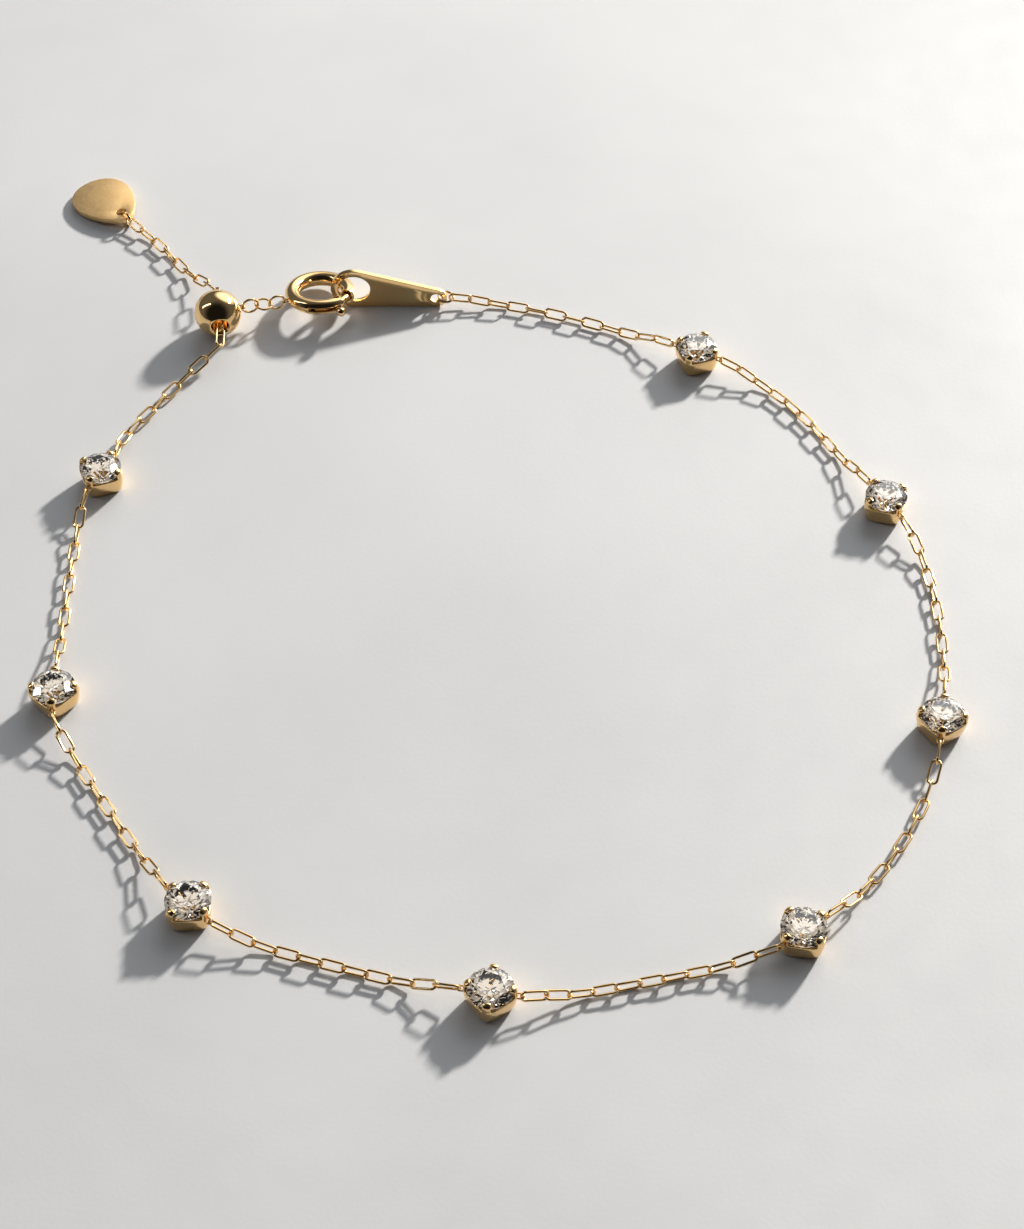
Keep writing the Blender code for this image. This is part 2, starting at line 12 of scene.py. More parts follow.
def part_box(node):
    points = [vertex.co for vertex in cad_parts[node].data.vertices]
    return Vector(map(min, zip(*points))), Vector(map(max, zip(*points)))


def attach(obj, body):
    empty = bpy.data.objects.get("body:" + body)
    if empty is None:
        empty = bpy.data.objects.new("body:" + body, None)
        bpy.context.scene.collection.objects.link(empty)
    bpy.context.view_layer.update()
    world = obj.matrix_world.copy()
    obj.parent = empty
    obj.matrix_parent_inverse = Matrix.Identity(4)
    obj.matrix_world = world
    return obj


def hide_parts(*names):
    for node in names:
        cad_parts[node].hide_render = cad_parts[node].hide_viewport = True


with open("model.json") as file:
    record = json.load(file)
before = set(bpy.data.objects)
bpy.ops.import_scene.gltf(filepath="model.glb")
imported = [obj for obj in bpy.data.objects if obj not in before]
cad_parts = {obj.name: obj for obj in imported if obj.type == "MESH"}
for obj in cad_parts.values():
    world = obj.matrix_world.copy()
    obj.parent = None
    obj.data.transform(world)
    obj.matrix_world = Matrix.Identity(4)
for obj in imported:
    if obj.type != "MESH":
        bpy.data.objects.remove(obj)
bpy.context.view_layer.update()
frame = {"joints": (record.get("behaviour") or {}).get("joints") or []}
scene = bpy.context.scene
mm = 0.001
up = Vector((0, 0, 1))
flat = Vector((1, 1, 0))
mergeWithin = 1e-4  # points nearer than this become one
cutWithin = 1e-6  # points nearer than this to a cutting plane lie on it


def middleOf(node):
    low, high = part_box(node)
    return (low + high) / 2 / mm


# The bracelet was drawn from the photograph's place and then centred, so drawn places are moved
drawnStoneFour = Vector((0.89, -31.16, 0))
centring = middleOf("stone_4") - drawnStoneFour
centring.z = 0


def laid(x, y, z=0):
    return Vector((x, y, z)) + centring


def towards(heading):
    return Vector((math.cos(math.radians(heading)), math.sin(math.radians(heading)), 0))


# Camera, at the photograph's angle
view = {
    "place": (2.0, -102.5, 116.4),
    "tip": 40,  # from looking straight down
    "focalLength": 2600,  # in pixels of the photograph
    "pictureHeight": 1229,
    "sensor": 36,
    "nearest": 1,
}


def addCamera():
    camera = bpy.data.cameras.new("photoCamera")
    camera.lens = view["focalLength"] / view["pictureHeight"] * view["sensor"]
    camera.clip_start = view["nearest"] * mm
    holder = bpy.data.objects.new("photoCamera", camera)
    holder.location = laid(*view["place"]) * mm
    holder.rotation_euler = (math.radians(view["tip"]), 0, 0)
    scene.collection.objects.link(holder)
    scene.camera = holder


addCamera()
print("camera set")


# Small steps that the pieces share
def only(kind, geometry):
    return [part for part in geometry if isinstance(part, kind)]


def pointsOf(parts):
    return list({vert: None for part in parts for vert in part.verts})


def turned(angle, axis="Z"):
    return Matrix.Rotation(math.radians(angle), 4, axis)


# A turn that lays a piece's own x and y directions along two others
def facing(along, across):
    return Matrix((along, across, along.cross(across))).transposed().to_4x4()


def addCircle(bm, radius, sides, centre, axis):
    made = bmesh.ops.create_circle(bm, segments=sides, radius=radius, cap_ends=False)["verts"]
    turn = Vector(axis).to_track_quat("Z", "Y").to_matrix().to_4x4()
    bmesh.ops.transform(bm, matrix=Matrix.Translation(centre) @ turn, verts=made)
    return [edge for edge in bm.edges if edge.verts[0] in made]


def drawOut(bm, edges, step):
    made = bmesh.ops.extrude_edge_only(bm, edges=edges)["geom"]
    bmesh.ops.translate(bm, verts=only(bmesh.types.BMVert, made), vec=step)
    return only(bmesh.types.BMEdge, made)


# Extrudes faces and gives back the new ones. The faces beneath them go, because their edges go along
def extruded(bm, faces, step=(0, 0, 0)):
    edges = list({edge: None for face in faces for edge in face.edges})
    made = bmesh.ops.extrude_face_region(bm, geom=faces + edges)["geom"]
    bmesh.ops.translate(bm, verts=only(bmesh.types.BMVert, made), vec=step)
    return only(bmesh.types.BMFace, made)


def bendOn(bm, edges, pivot, axis, angle, steps):
    made = bmesh.ops.spin(
        bm, geom=pointsOf(edges) + edges, cent=pivot, axis=axis, angle=math.radians(angle), steps=steps
    )["geom_last"]
    return only(bmesh.types.BMEdge, made)


# Insets faces and gives back the new ones round them
def insetBy(bm, faces, width):
    return bmesh.ops.inset_individual(bm, faces=faces, thickness=width, use_even_offset=True)["faces"]


def mirrorAndClose(bm, axes):
    for axis in axes:
        everything = bm.verts[:] + bm.edges[:] + bm.faces[:]
        bmesh.ops.mirror(bm, geom=everything, axis=axis, merge_dist=mergeWithin)
    closeUp(bm)


def closeUp(bm):
    bmesh.ops.remove_doubles(bm, verts=bm.verts, dist=mergeWithin)
    gaps = [edge for edge in bm.edges if edge.is_boundary]
    if gaps:
        bmesh.ops.holes_fill(bm, edges=gaps)
    bmesh.ops.recalc_face_normals(bm, faces=bm.faces)


def asMesh(bm, name):
    mesh = bpy.data.meshes.new(name)
    bm.to_mesh(mesh)
    bm.free()
    return mesh


# Adds a copy of a mesh to bm, moved by a matrix
def addCopy(bm, mesh, matrix):
    before = set(bm.verts)
    bm.from_mesh(mesh)
    bmesh.ops.transform(bm, matrix=matrix, verts=[vert for vert in bm.verts if vert not in before])


def roundEdges(bm, width, segments, fromAngle=50):
    limit = math.radians(fromAngle)
    edges = [edge for edge in bm.edges if edge.is_manifold and edge.calc_face_angle() > limit]
    bmesh.ops.bevel(
        bm, geom=edges, offset=width, affect="EDGES", segments=segments, profile=0.5, material=-1,
        clamp_overlap=True,
    )


# Runs a subdivision surface over bm and gives back the smooth mesh
def subdivided(bm, levels):
    mesh = asMesh(bm, "rough")
    holder = bpy.data.objects.new("rough", mesh)
    scene.collection.objects.link(holder)
    smoothing = holder.modifiers.new("smooth", "SUBSURF")
    smoothing.levels = smoothing.render_levels = levels
    graph = bpy.context.evaluated_depsgraph_get()
    smooth = bpy.data.meshes.new_from_object(holder.evaluated_get(graph))
    bpy.data.objects.remove(holder)
    bpy.data.meshes.remove(mesh)
    return smooth


def addPiece(name, bm, finish, stands, body="bracelet", sharpFrom=35):
    bmesh.ops.scale(bm, vec=(mm, mm, mm), verts=bm.verts)
    mesh = asMesh(bm, name)
    if sharpFrom:
        mesh.shade_smooth()
        mesh.set_sharp_from_angle(angle=math.radians(sharpFrom))
    mesh.materials.append(finish)
    piece = bpy.data.objects.new(name, mesh)
    scene.collection.objects.link(piece)
    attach(piece, body)
    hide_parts(stands)
    return piece


# Finishes
goldColours = {
    "warm": (0.94, 0.655, 0.315, 1),
    "deep": (0.86, 0.545, 0.225, 1),
}
goldFinishes = {
    # roughness from and to, size of the ripples in mm, their depth in micrometres
    "seatGold": {"rough": (0.15, 0.28), "ripple": 0.50, "depth": 5.0},
    "linkGold": {"rough": (0.04, 0.12), "ripple": 0.60, "depth": 1.2},
    "beadGold": {"rough": (0.05, 0.12), "ripple": 1.60, "depth": 3.0},
    "claspGold": {"rough": (0.07, 0.18), "ripple": 1.10, "depth": 4.0},
    "tagGold": {"rough": (0.36, 0.47), "ripple": 0.25, "depth": 3.0},
}
goldSurface = {
    # size in mm and detail of the patches of tone and of the wear
    "patches": (1.3, 3),
    "wear": (0.16, 6),
    "rippleDetail": 4,
    "mostDeep": 0.6,  # how far the tone goes from warm to deep
}
noiseRange = (0.3, 0.7)  # between which nearly all of a noise lies


def startMaterial(name):
    material = bpy.data.materials.new(name)
    material.use_nodes = True
    nodes = material.node_tree.nodes
    return material, nodes, material.node_tree.links, nodes["Principled BSDF"]


def addNoise(nodes, links, place, featureSize, detail):
    noise = nodes.new("ShaderNodeTexNoise")
    noise.inputs["Scale"].default_value = 1 / (featureSize * mm)
    noise.inputs["Detail"].default_value = detail
    links.new(place.outputs["Object"], noise.inputs["Vector"])
    return noise.outputs["Fac"]


# Spreads a noise between two values
def addSpread(nodes, links, value, low, high):
    spread = nodes.new("ShaderNodeMapRange")
    spread.inputs["From Min"].default_value = noiseRange[0]
    spread.inputs["From Max"].default_value = noiseRange[1]
    spread.inputs["To Min"].default_value = low
    spread.inputs["To Max"].default_value = high
    links.new(value, spread.inputs["Value"])
    return spread.outputs["Result"]


def addTone(nodes, links, first, second, share):
    tone = nodes.new("ShaderNodeMix")
    tone.data_type = "RGBA"
    tone.inputs["A"].default_value = first
    tone.inputs["B"].default_value = second
    links.new(share, tone.inputs["Factor"])
    return tone.outputs["Result"]


def addBump(nodes, links, height, strength, depth):
    bump = nodes.new("ShaderNodeBump")
    bump.inputs["Strength"].default_value = strength
    bump.inputs["Distance"].default_value = depth * mm
    links.new(height, bump.inputs["Height"])
    return bump.outputs["Normal"]


def goldFinish(name):
    finish = goldFinishes[name]
    material, nodes, links, shader = startMaterial(name)
    shader.inputs["Metallic"].default_value = 1.0
    place = nodes.new("ShaderNodeTexCoord")
    patches = addNoise(nodes, links, place, *goldSurface["patches"])
    share = addSpread(nodes, links, patches, 0.0, goldSurface["mostDeep"])
    tone = addTone(nodes, links, goldColours["warm"], goldColours["deep"], share)
    links.new(tone, shader.inputs["Base Color"])
    wear = addNoise(nodes, links, place, *goldSurface["wear"])
    links.new(addSpread(nodes, links, wear, *finish["rough"]), shader.inputs["Roughness"])
    ripples = addNoise(nodes, links, place, finish["ripple"], goldSurface["rippleDetail"])
    links.new(addBump(nodes, links, ripples, 1.0, finish["depth"] * mm), shader.inputs["Normal"])
    return material


golds = {name: goldFinish(name) for name in goldFinishes}


stoneLook = {
    "bending": 2.417,  # index of refraction
    "clear": (1.0, 0.95, 0.88, 1),
    "tinted": (0.98, 0.90, 0.80, 1),
    "clouds": (0.8, 2),  # size in mm and detail
    "polish": (0.10, 4),
    "rough": (0.0, 0.012),
}


def diamondFinish():
    material, nodes, links, shader = startMaterial("brilliantDiamond")
    shader.inputs["IOR"].default_value = stoneLook["bending"]
    shader.inputs["Transmission Weight"].default_value = 1.0
    place = nodes.new("ShaderNodeTexCoord")
    clouds = addSpread(nodes, links, addNoise(nodes, links, place, *stoneLook["clouds"]), 0.0, 1.0)
    tint = addTone(nodes, links, stoneLook["clear"], stoneLook["tinted"], clouds)
    links.new(tint, shader.inputs["Base Color"])
    polish = addNoise(nodes, links, place, *stoneLook["polish"])
    links.new(addSpread(nodes, links, polish, *stoneLook["rough"]), shader.inputs["Roughness"])
    return material


diamond = diamondFinish()
print("finishes made")


# Round brilliants: a girdle disc cut by one plane for each facet
brilliant = {
    "radius": 1.25,
    "girdle": 1.40,  # height of its lower edge
    "girdleHeight": 0.08,
    "crown": 0.38,
    "pavilion": 1.075,
    "table": 0.70,
    "star": 0.97,
    "lowerHalf": 0.28,
    "rim": 64,
    "mains": 8,  # largest facets round the crown, and as many beneath
}


# Cuts away what lies outside a plane and closes the cut. The plane falls off along azimuth
def cutFacet(bm, azimuth, reach, height, slope, below=False):
    out = towards(azimuth)
    normal = out * slope + (-up if below else up)
    cut = bmesh.ops.bisect_plane(
        bm, geom=bm.verts[:] + bm.edges[:] + bm.faces[:], dist=cutWithin,
        plane_co=out * reach + up * height, plane_no=normal, clear_outer=True,
    )["geom_cut"]
    edges = [edge for edge in only(bmesh.types.BMEdge, cut) if edge.is_boundary]
    bmesh.ops.holes_fill(bm, edges=edges)


def makeBrilliant():
    radius = brilliant["radius"]
    low = brilliant["girdle"]
    high = low + brilliant["girdleHeight"]
    tableTop = high + brilliant["crown"]
    culet = low - brilliant["pavilion"]
    mains = brilliant["mains"]
    step = 360 / mains
    half = math.cos(math.radians(step / 2))
    quarter = math.cos(math.radians(step / 4))
    crownSlope = brilliant["crown"] / (radius - brilliant["table"])
    pavilionSlope = brilliant["pavilion"] / radius
    starDrop = (brilliant["star"] * half - brilliant["table"]) * crownSlope
    starSlope = starDrop / (brilliant["star"] - brilliant["table"] * half)
    upperSlope = (brilliant["crown"] - starDrop) / (quarter * (radius - brilliant["star"]))
    lowerRise = brilliant["lowerHalf"] * half * pavilionSlope
    lowerSlope = (brilliant["pavilion"] - lowerRise) / (quarter * (radius - brilliant["lowerHalf"]))
    bm = bmesh.new()
    depth = tableTop - culet
    bmesh.ops.create_cone(
        bm, cap_ends=True, segments=brilliant["rim"], radius1=radius, radius2=radius, depth=depth,
        matrix=Matrix.Translation((0, 0, culet + depth / 2)),
    )
    for facet in range(mains):
        cutFacet(bm, step * facet, radius, high, crownSlope)
        cutFacet(bm, step * facet, radius, low, pavilionSlope, below=True)
        cutFacet(bm, step * facet + step / 2, brilliant["table"] * half, tableTop, starSlope)
    for facet in range(2 * mains):
        azimuth = step / 2 * facet + step / 4
        cutFacet(bm, azimuth, radius * quarter, high, upperSlope)
        cutFacet(bm, azimuth, radius * quarter, low, lowerSlope, below=True)
    bmesh.ops.recalc_face_normals(bm, faces=bm.faces)
    return asMesh(bm, "brilliantCut")


chance = random.Random(5)
headings = [-115, -88, -42, -9, 37, 80, 120, 154]  # of the chain through each seat
stations = []
for number, heading in enumerate(headings, 1):
    middle = middleOf(f"stone_{number}")
    stations.append((Vector((middle.x, middle.y, 0)), heading))

brilliantCut = makeBrilliant()
for number, (place, heading) in enumerate(stations, 1):
    bm = bmesh.new()
    addCopy(bm, brilliantCut, Matrix.Translation(place) @ turned(chance.uniform(0, 45)))
    addPiece(f"brilliant_{number}", bm, diamond, f"stone_{number}", sharpFrom=None)
print("stones cut")


# Seats: a rounded square cup whose wall runs up into a claw at each corner
cup = {
    # height of each level, and its width as a share of the rim's
    "levels": [(0.0, 0.78), (0.07, 0.86), (0.45, 0.94), (1.00, 0.99), (1.17, 1.0), (1.26, 0.985)],
    "side": 1.22,
    "squareness": 4.6,  # 2 is a circle, and the corners grow with it
    "steps": 32,
    "land": 0.08,
    "clawInside": 1.26,
    "inset": 0.02,  # for a new loop, which then goes to the pocket's mouth
    "pocket": 1.13,
    "pocketFloor": 0.32,
    "pocketNarrowing": 0.12,  # width of the pocket's floor as a share of its mouth's
    "clawWidth": 22.5,  # in degrees round the stone
    "clawFoot": 0.08,
    "clawStand": 0.14,
    "clawPivot": (1.15, 1.48),
    "clawTurn": 70,
    "clawSteps": 3,
    "clawTip": 0.17,
    "clawTaper": 0.95,
    "smoothing": 2,
}
# Soldered eyes: a staple of wire on a wall, with the chain's end link in it
eye = {
    "depth": 0.25,
    "halfWidth": 0.15,
    "root": 0.16,
    "corner": 0.11,
    "cornerSteps": 5,
    "wire": 0.055,
    "sides": 10,
    "reach": 1.50,  # from a seat's middle to the wall at its corner
    "height": 1.05,
}


def makeEye():
    bm = bmesh.new()
    corner = eye["corner"]
    shoulder = Vector((eye["depth"] - corner, eye["halfWidth"] - corner, 0))
    loop = addCircle(bm, eye["wire"], eye["sides"], (eye["depth"], 0, 0), (0, 1, 0))
    loop = drawOut(bm, loop, (0, shoulder.y, 0))
    loop = bendOn(bm, loop, shoulder, up, 90, eye["cornerSteps"])
    drawOut(bm, loop, (-eye["root"] - shoulder.x, 0, 0))
    mirrorAndClose(bm, "Y")
    return asMesh(bm, "eye")


def raiseClaw(bm, faces, heading):
    out = towards(heading)
    across = up.cross(out)
    faces = extruded(bm, faces, up * cup["clawFoot"])
    faces = extruded(bm, faces, up * cup["clawStand"])
    reach, height = cup["clawPivot"]
    turn = math.radians(cup["clawTurn"] / cup["clawSteps"])
    for _ in range(cup["clawSteps"]):
        faces = extruded(bm, faces)
        bmesh.ops.rotate(
            bm, cent=out * reach + up * height, matrix=Matrix.Rotation(-turn, 3, across),
            verts=pointsOf(faces),
        )
    lean = math.radians(cup["clawTurn"])
    faces = extruded(bm, faces, (up * math.cos(lean) - out * math.sin(lean)) * cup["clawTip"])
    verts = pointsOf(faces)
    middle = sum((vert.co for vert in verts), Vector()) / len(verts)
    taper = cup["clawTaper"]
    bmesh.ops.scale(bm, vec=(taper, taper, taper), space=Matrix.Translation(-middle), verts=verts)


def makeSeat(eyeMesh):
    bm = bmesh.new()
    bmesh.ops.create_circle(bm, segments=cup["steps"], radius=cup["side"], cap_ends=True)
    square = cup["squareness"]
    for vert in bm.verts:
        along, across = (abs(vert.co.normalized().dot(towards(side))) for side in (45, 135))
        vert.co /= (along**square + across**square) ** (1 / square)
    top = bm.faces[:][0]
    height, share = 0.0, 1.0
    for nextHeight, nextShare in cup["levels"]:
        if nextHeight > 0:
            top = extruded(bm, [top])[0]
        growth = nextShare / share
        bmesh.ops.translate(bm, verts=top.verts, vec=up * (nextHeight - height))
        bmesh.ops.scale(bm, vec=(growth, growth, 1), verts=top.verts)
        height, share = nextHeight, nextShare
    land = insetBy(bm, [top], cup["land"])
    for vert in top.verts:
        reach = vert.co.xy.length
        vert.co.xy *= min(1, cup["clawInside"] / reach)
    insetBy(bm, [top], cup["inset"])
    for vert in top.verts:
        vert.co.xy *= cup["pocket"] / vert.co.xy.length
    floorOfPocket = extruded(bm, [top], up * (cup["pocketFloor"] - height))[0]
    narrowing = cup["pocketNarrowing"]
    bmesh.ops.scale(bm, vec=(narrowing, narrowing, 1), verts=floorOfPocket.verts)
    for heading in (0, 90, 180, 270):
        out = towards(heading)
        reach = math.radians(cup["clawWidth"]) / 2
        corner = [f for f in land if f.is_valid and out.angle(f.calc_center_median() * flat) < reach]
        raiseClaw(bm, corner, heading)
    bmesh.ops.recalc_face_normals(bm, faces=bm.faces)
    body = subdivided(bm, cup["smoothing"])
    bm = bmesh.new()
    bm.from_mesh(body)
    for heading in (0, 180):
        place = Matrix.Translation(towards(heading) * eye["reach"] + up * eye["height"])
        addCopy(bm, eyeMesh, place @ turned(heading))
    return asMesh(bm, "seat")


eyeMesh = makeEye()
seatMesh = makeSeat(eyeMesh)
for number, (place, heading) in enumerate(stations, 1):
    bm = bmesh.new()
    addCopy(bm, seatMesh, Matrix.Translation(place) @ turned(heading))
    addPiece(f"seat_{number}", bm, golds["seatGold"], f"setting_{number}", sharpFrom=60)
print("seats made")


# Cable chain: links that hang in each other, alternately on edge and flat
link = {
    "pitch": 1.26,
    "width": 0.55,  # between the middles of the long sides
    "corner": 0.25,
    "wire": 0.077,
    "sides": 8,
    "cornerSteps": 5,
    "play": 0.004,  # between the wires of two links
    "roll": 7,  # how far a link may lie turned out of its place
    "bite": 0.068,  # how far the frame's fused links reach past a joint
}
route = {
    "low": 0.37,  # height of the chain's middle where it lies on the surface
    "rise": 3.6,  # length over which it climbs to a seat
    "seat": 0.125,  # from a wall to the middle of the wire in its eye
    "gapLinks": 11,
    "plateLinks": 12,
    "plateTurn": -8,
    "adjusterLinks": 21,
    "toBead": [(-21.9, 9.1, 0.50), (-20.4, 11.6, 0.40), (-18.6, 14.3, 0.46)],
    "toTag": [(-19.2, 23.95, 0.47), (-21.4, 26.85, 0.40), (-23.4, 28.85, 0.56), (-24.7, 30.75, 0.86)],
    "lead": 1.3,  # the straight stretch on either side of the bead's middle
    "approach": 2.5,
    "sag": 0.15,
    "handles": (0.5, 14.0),  # shortest and longest
    "handleTries": 30,
    "jointTries": 40,
    "sagSteps": 120,
    "curveSteps": 16,  # between two of the places that a smooth line runs through
}
bead = {
    "middle": laid(-16.79, 19.07, 1.5),
    "radius": 1.5,
    "heading": 100,
    "bore": 0.50,
    "mouth": 0.64,
    "lip": 0.14,
    "sides": 56,
    "profile": 72,
    "rounding": 0.04,
    "roundFrom": 25,
}


# A quarter of the link is drawn along its middle line and mirrored twice
def makeLink():
    bm = bmesh.new()
    half = link["pitch"] / 2 + link["wire"] + link["play"] / 2
    side = link["width"] / 2
    corner = link["corner"]
    loop = addCircle(bm, link["wire"], link["sides"], (0, side, 0), (1, 0, 0))
    loop = drawOut(bm, loop, (half - corner, 0, 0))
    loop = bendOn(bm, loop, (half - corner, side - corner, 0), up, -90, link["cornerSteps"])
    drawOut(bm, loop, (0, corner - side, 0))
    mirrorAndClose(bm, "XY")
    return asMesh(bm, "link")


def bezier(points, share):
    while len(points) > 1:
        points = [a.lerp(b, share) for a, b in zip(points, points[1:])]
    return points[0]


# Steps along a fine line with a constant straight distance between joints
def jointsAlong(line, pitch, most):
    joints = [line[0]]
    for start, end in zip(line, line[1:]):
        while len(joints) <= most and (end - joints[-1]).length >= pitch:
            low, high = 0.0, 1.0
            for _ in range(route["jointTries"]):
                share = (low + high) / 2
                if (start.lerp(end, share) - joints[-1]).length < pitch:
                    low = share
                else:
                    high = share
            joints.append(start.lerp(end, high))
    return joints


def saggingLine(start, startHeading, end, endHeading, handle):
    controls = [start, start + towards(startHeading) * handle, end - towards(endHeading) * handle, end]
    line = []
    for step in range(route["sagSteps"] + 1):
        point = bezier(controls, step / route["sagSteps"])
        height = route["low"]
        for anchor in (start, end):
            away = min((point.xy - anchor.xy).length / route["rise"], 1)
            height += (anchor.z - route["low"]) * (1 - away) ** 2 * (1 + 2 * away)
        line.append(Vector((point.x, point.y, height)))
    return line


# Lengthens the line's handles until the links just fit between two eyes
def fittedJoints(start, startHeading, end, endHeading, count):
    low, high = route["handles"]
    for _ in range(route["handleTries"]):
        handle = (low + high) / 2
        line = saggingLine(start, startHeading, end, endHeading, handle)
        joints = jointsAlong(line, link["pitch"], count - 1)
        if len(joints) < count or (end - joints[count - 1]).length < link["pitch"]:
            low = handle
        else:
            high = handle
    return joints[:count] + [end]


def smoothLine(points):
    padded = [points[0] * 2 - points[1], *points, points[-1] * 2 - points[-2]]
    steps = route["curveSteps"]
    line = []
    for a, b, c, d in zip(padded, padded[1:], padded[2:], padded[3:]):
        controls = [b, b + (c - a) / 6, c - (d - b) / 6, c]
        line.extend(bezier(controls, step / steps) for step in range(steps))
    line.append(points[-1])
    return line


def seatJoint(number, side):
    place, heading = stations[number - 1]
    reach = eye["reach"] + route["seat"] + link["bite"]
    return place + up * eye["height"] + towards(heading) * reach * side


def adjusterJoints():
    along = towards(bead["heading"])
    points = [seatJoint(1, -1)]
    points.extend(laid(*spot) for spot in route["toBead"])
    points.append(bead["middle"] - along * route["approach"] - up * route["sag"])
    points.append(bead["middle"] - along * route["lead"])
    points.append(bead["middle"] + along * route["lead"])
    points.append(bead["middle"] + along * route["approach"] - up * route["sag"])
    points.extend(laid(*spot) for spot in route["toTag"])
    joints = jointsAlong(smoothLine(points), link["pitch"], route["adjusterLinks"])
    return joints[: route["adjusterLinks"] + 1]


# Hangs copies of a link between joints. The first is on edge, and twist turns the last one further
def hangLinks(name, joints, linkMesh, stands, twist=0, rolls=None):
    bm = bmesh.new()
    last = len(joints) - 2
    for number, (start, end) in enumerate(zip(joints, joints[1:])):
        along = (end - start).normalized()
        level = up.cross(along).normalized()
        free = math.sin(math.pi * number / last)
        roll = chance.uniform(-1, 1) * link["roll"] * free + (rolls or {}).get(number, 0)
        standing = 90 + 90 * (number % 2) + twist * number / last + roll
        across = Matrix.Rotation(math.radians(standing), 3, along) @ level
        addCopy(bm, linkMesh, Matrix.Translation((start + end) / 2) @ facing(along, across))
    piece = addPiece(name, bm, golds["linkGold"], stands, sharpFrom=None)
    piece.data.shade_smooth()


linkMesh = makeLink()
# The links on either side of the front seat lie rolled over: stretch, link in it and angle
turnedLinks = {3: {10: 14}, 4: {0: -20}}
for number in range(1, 8):
    start, end = seatJoint(number, 1), seatJoint(number + 1, -1)
    joints = fittedJoints(start, headings[number - 1], end, headings[number], route["gapLinks"])
    name = f"{number}_{number + 1}"
    hangLinks(f"links_{name}", joints, linkMesh, f"chain_{name}", rolls=turnedLinks.get(number))
print("chain hung")


# Jump rings and the round links between bead and clasp
jump = {
    "radius": 0.48,
    "wire": 0.083,
    "offset": 0.63,  # from a small hole's middle to the jump ring's
    "toLink": 0.87,
    "steps": 32,
    "sides": 10,
}
connector = {
    "links": 3,
    "wire": 0.078,
}


def makeRound(radius, wire):
    bm = bmesh.new()
    addCircle(bm, wire, jump["sides"], (radius, 0, 0), (0, 1, 0))
    bmesh.ops.spin(
        bm, geom=bm.verts[:] + bm.edges[:], cent=(0, 0, 0), axis=up, angle=math.tau,
        steps=jump["steps"], use_merge=True,
    )
    closeUp(bm)
    return asMesh(bm, "round")


# Clasp plate, standing on its long edge
plate = {
    "hole": laid(-8.19, 21.40, 1.50),
    "length": 5.35,
    "wide": 1.50,
    "narrow": 0.70,
    "thick": 0.30,
    "holeRadius": 1.05,
    "smallHole": 0.36,
    "sides": 72,
    "holeSides": 48,
    "smallHoleSides": 28,
    "rounding": 0.045,
}


# Fills the flat region between an outline and holes, and gives it a thickness and rounded edges
def sheetOfMetal(bm, holes, thickness, rounding):
    for place, radius, sides in holes:
        addCircle(bm, radius, sides, place, (0, 0, 1))
    bmesh.ops.triangle_fill(bm, use_beauty=True, use_dissolve=False, edges=bm.edges[:])
    bmesh.ops.translate(bm, verts=bm.verts, vec=(0, 0, -thickness / 2))
    extruded(bm, bm.faces[:], (0, 0, thickness))
    bmesh.ops.recalc_face_normals(bm, faces=bm.faces)
    roundEdges(bm, rounding, segments=3)


def plateSmallHole():
    drop = plate["wide"] - plate["narrow"]
    run = math.sqrt(plate["length"] ** 2 - drop**2)
    return plate["hole"] + Vector((run, 0, -drop))


def makePlate():
    bm = bmesh.new()
    lean = math.acos((plate["wide"] - plate["narrow"]) / plate["length"])
    for x, radius, outside in ((0, plate["wide"], 1), (plate["length"], plate["narrow"], -1)):
        verts = bmesh.ops.create_circle(
            bm, segments=plate["sides"], radius=radius, cap_ends=False,
            matrix=Matrix.Translation((x, 0, 0)),
        )["verts"]
        hidden = [v for v in verts if (abs(math.atan2(v.co.y, v.co.x - x)) - lean) * outside < 0]
        bmesh.ops.delete(bm, geom=hidden, context="VERTS")
    loose = [vert for vert in bm.verts if len(vert.link_edges) == 1]
    for side in (1, -1):
        bmesh.ops.contextual_create(bm, geom=[vert for vert in loose if vert.co.y * side > 0])
    holes = [
        ((0, 0, 0), plate["holeRadius"], plate["holeSides"]),
        ((plate["length"], 0, 0), plate["smallHole"], plate["smallHoleSides"]),
    ]
    sheetOfMetal(bm, holes, plate["thick"], plate["rounding"])
    pitch = math.asin((plate["wide"] - plate["narrow"]) / plate["length"])
    turn = Matrix.Rotation(pitch, 4, "Y") @ turned(90, "X")
    bmesh.ops.transform(bm, matrix=Matrix.Translation(plate["hole"]) @ turn, verts=bm.verts)
    return bm


addPiece("endPlate", makePlate(), golds["claspGold"], "clasp_plate", sharpFrom=25)
jumpMesh = makeRound(jump["radius"], jump["wire"])
plateJump = bmesh.new()
addCopy(plateJump, jumpMesh, Matrix.Translation(plateSmallHole() + Vector((jump["offset"], 0, 0))))
addPiece("plateRing", plateJump, golds["linkGold"], "plate_jump_ring")
plateEnd = plateSmallHole() + Vector((jump["toLink"] + link["bite"], 0, 0))
plateJoints = fittedJoints(
    seatJoint(8, 1), headings[7] + route["plateTurn"], plateEnd, 180, route["plateLinks"]
)
hangLinks("links_plate", plateJoints, linkMesh, "plate_chain", twist=90)
print("clasp plate made")


# End tag on its jump ring
tag = {
    "halfLength": 2.50,
    "halfWidth": 1.90,
    "egg": 0.28,  # share by which the end with the hole is narrower
    "thick": 0.35,
    "holeOffset": 1.72,
    "heading": 130,
    "tilt": 4.2,
    "sides": 80,
    "rounding": 0.11,
}


